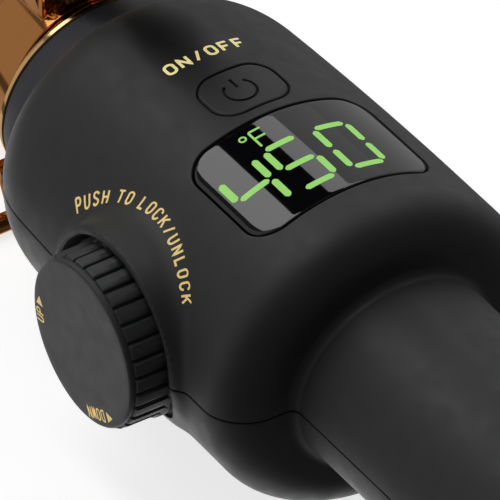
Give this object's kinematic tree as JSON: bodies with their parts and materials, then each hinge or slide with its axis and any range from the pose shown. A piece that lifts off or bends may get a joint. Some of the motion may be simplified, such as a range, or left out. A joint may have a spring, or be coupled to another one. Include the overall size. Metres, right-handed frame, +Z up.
{
  "type": "spring-clip curling iron",
  "caption": "In-line curling iron with a digital display bulb, push-and-turn dial, power button, spring clip, stand bail and swivelling cord inlet.",
  "frame": {"origin": "centre of the flat under the control bulb, straight below the dial's axis", "axes": "+X along the tool towards the barrel tip, +Y towards the dial, +Z up through the display; the tool's own axis runs along X at Z = 24 mm"},
  "size_m": [0.386, 0.059, 0.0676],
  "materials": {
    "housing": "soft-touch matt black",
    "dial_plastic": "fine matt black",
    "collar_plastic": "granular heat-proof moulding",
    "tip_plastic": "matt heat-proof moulding",
    "gold_plate": "polished gold plate",
    "window": "gloss black window",
    "lcd": "read-out cell",
    "circuit_board": "solder-resist green",
    "black_component": "moulded component",
    "ivory_plastic": "natural nylon",
    "red_component": "dipped film capacitor",
    "steel": "bright steel",
    "aluminium_core": "extruded",
    "ceramic_plate": "alumina",
    "mica": "mica washer stack",
    "wire": "woven sleeve",
    "contact_brass": "bright brass"
  },
  "bodies": {
    "root": {"upper_shell": "housing", "lower_shell": "housing", "housing_screws": "steel", "handle_cap": "housing", "heat_collar": "collar_plastic", "base_ring": "gold_plate", "display_lens": "window", "display_bezel": "black_component", "lcd_module": "lcd", "control_board": "circuit_board", "power_switch": "black_component", "dial_encoder": "steel", "encoder_board": "circuit_board", "board_ribbon": "wire", "power_board": "circuit_board", "film_capacitor": "red_component", "triac": "black_component", "heater_leads": "wire", "barrel_tube": "gold_plate", "heater_plate": "ceramic_plate", "upper_spreader": "aluminium_core", "lower_spreader": "aluminium_core", "temperature_sensor": "mica", "thermal_fuse": "steel", "base_insulator": "mica", "barrel_tip": "tip_plastic", "tip_anchor": "steel", "tip_screw": "steel", "pivot_band": "gold_plate", "clip_pin": "steel", "swivel_socket": "ivory_plastic", "swivel_washer": "steel", "brush_contacts": "contact_brass"},
    "power_button": {"power_button": "housing", "switch_plunger": "ivory_plastic"},
    "dial_carrier": {"push_sleeve": "steel"},
    "dial": {"encoder_shaft": "steel", "dial_body": "dial_plastic", "dial_cap": "dial_plastic"},
    "clip": {"clip_plate": "gold_plate", "clip_lever": "gold_plate", "clip_rivets": "steel", "clip_spring": "steel", "thumb_rest": "tip_plastic"},
    "stand": {"stand_bail": "gold_plate"},
    "swivel": {"swivel_gland": "tip_plastic", "slip_rings": "contact_brass"}
  },
  "joints": [
    {"name": "button_press", "type": "slide", "parent": "root", "child": "power_button", "axis": [0, 0, -1], "range_m": [0, 0.0008], "stiffness_N_per_m": 1500, "springref_m": -0.0005},
    {"name": "dial_push", "type": "slide", "parent": "root", "child": "dial_carrier", "axis": [0, -1, 0], "range_m": [0, 0.0012], "stiffness_N_per_m": 2500, "springref_m": -0.0005},
    {"name": "dial_turn", "type": "hinge", "parent": "dial_carrier", "child": "dial", "pos_m": [0, 0.029, 0.024], "axis": [0, 1, 0], "continuous": true},
    {"name": "clip_open", "type": "hinge", "parent": "root", "child": "clip", "pos_m": [0.055, 0, 0.0405], "axis": [0, -1, 0], "range_deg": [0, 16], "stiffness_Nm_per_rad": 0.3, "springref_deg": -20.05},
    {"name": "stand_fold", "type": "hinge", "parent": "root", "child": "stand", "pos_m": [0.056, 0, 0.008], "axis": [0, -1, 0], "range_deg": [0, 118]},
    {"name": "cord_swivel", "type": "hinge", "parent": "root", "child": "swivel", "pos_m": [-0.146, 0, 0.024], "axis": [1, 0, 0], "continuous": true}
  ]
}
